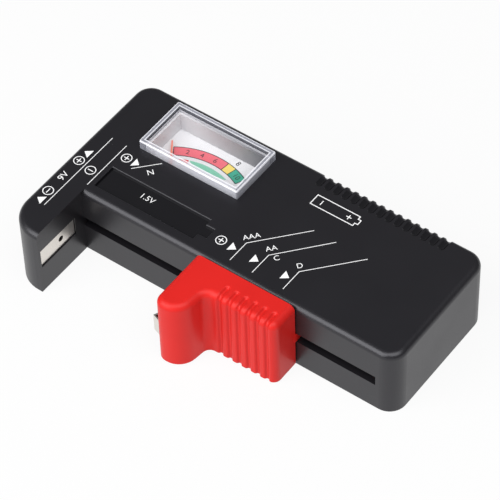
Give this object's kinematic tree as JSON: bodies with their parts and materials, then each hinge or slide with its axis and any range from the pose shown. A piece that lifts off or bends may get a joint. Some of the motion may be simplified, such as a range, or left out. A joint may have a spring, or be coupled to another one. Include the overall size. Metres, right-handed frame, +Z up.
{
  "type": "battery tester",
  "caption": "Handheld analogue battery tester: L-shaped black case with a windowed dial, a fixed contact arm and a sliding red contact that clamps round cells.",
  "frame": {"origin": "middle of the main case's footprint, on the table plane", "axes": "+X along the case away from the contact arm, +Y towards the back, +Z up out of the dial"},
  "size_m": [0.11, 0.061, 0.0251],
  "materials": {
    "black_case": "fine satin moulded surface",
    "black_cover": "fine satin moulded surface",
    "steel": "bright zinc plate",
    "nickel": "nickel plate",
    "brass": "plain turned brass",
    "clear": "clear moulded acrylic",
    "frame_plastic": "dull black moulding",
    "dial_white": "matt white print ground",
    "pale_liner": "pale grey moulding",
    "iron": "soft iron",
    "magnet": "sintered magnet",
    "jewel": "polished synthetic jewel",
    "bronze": "spring bronze",
    "board": "bare phenolic board",
    "resistor_body": "lacquered resistor",
    "wire_black": "soft insulation",
    "wire_red": "soft insulation",
    "wire_yellow": "soft insulation",
    "red_plastic": "semi-gloss moulded surface",
    "copper": "enamelled copper wire",
    "pointer_red": "painted aluminium"
  },
  "bodies": {
    "case": {"upper_case": "black_case", "bottom_cover": "black_cover", "cover_screws": "steel", "negative_contact": "nickel", "end_terminal_negative": "nickel", "end_terminal_positive": "nickel", "contact_rail": "nickel", "rail_rivets": "brass", "meter_window": "clear", "meter_frame": "frame_plastic", "dial_plate": "dial_white", "dial_liner": "pale_liner", "dial_screws": "steel", "bearing_bridge": "brass", "bridge_screws": "steel", "yoke_ring": "iron", "core_magnet": "magnet", "core_bracket": "brass", "lower_jewel": "jewel", "upper_jewel": "jewel", "hairspring": "bronze", "spring_stud": "brass", "circuit_board": "board", "board_screws": "steel", "load_resistor": "resistor_body", "series_resistor": "resistor_body", "negative_wire": "wire_black", "positive_wire": "wire_red", "rail_wire": "wire_red", "meter_wires": "wire_yellow", "terminal_link": "wire_black"},
    "slider": {"slider_grip": "red_plastic", "slider_retainer": "frame_plastic", "slider_wiper": "bronze", "slider_screws": "steel", "slider_contact": "nickel"},
    "needle": {"moving_coil": "copper", "lower_arbor": "steel", "upper_arbor": "steel", "pointer": "pointer_red", "counterweight": "brass", "spring_collet": "brass"}
  },
  "joints": [
    {"name": "slider_travel", "type": "slide", "parent": "case", "child": "slider", "axis": [1, 0, 0], "range_m": [-0.03, 0.0236]},
    {"name": "pointer_swing", "type": "hinge", "parent": "case", "child": "needle", "pos_m": [-0.0247, -0.0098, 0.0116], "axis": [0, 0, -1], "range_deg": [0, 62], "stiffness_Nm_per_rad": 0.00002, "deforming": ["hairspring"]}
  ]
}
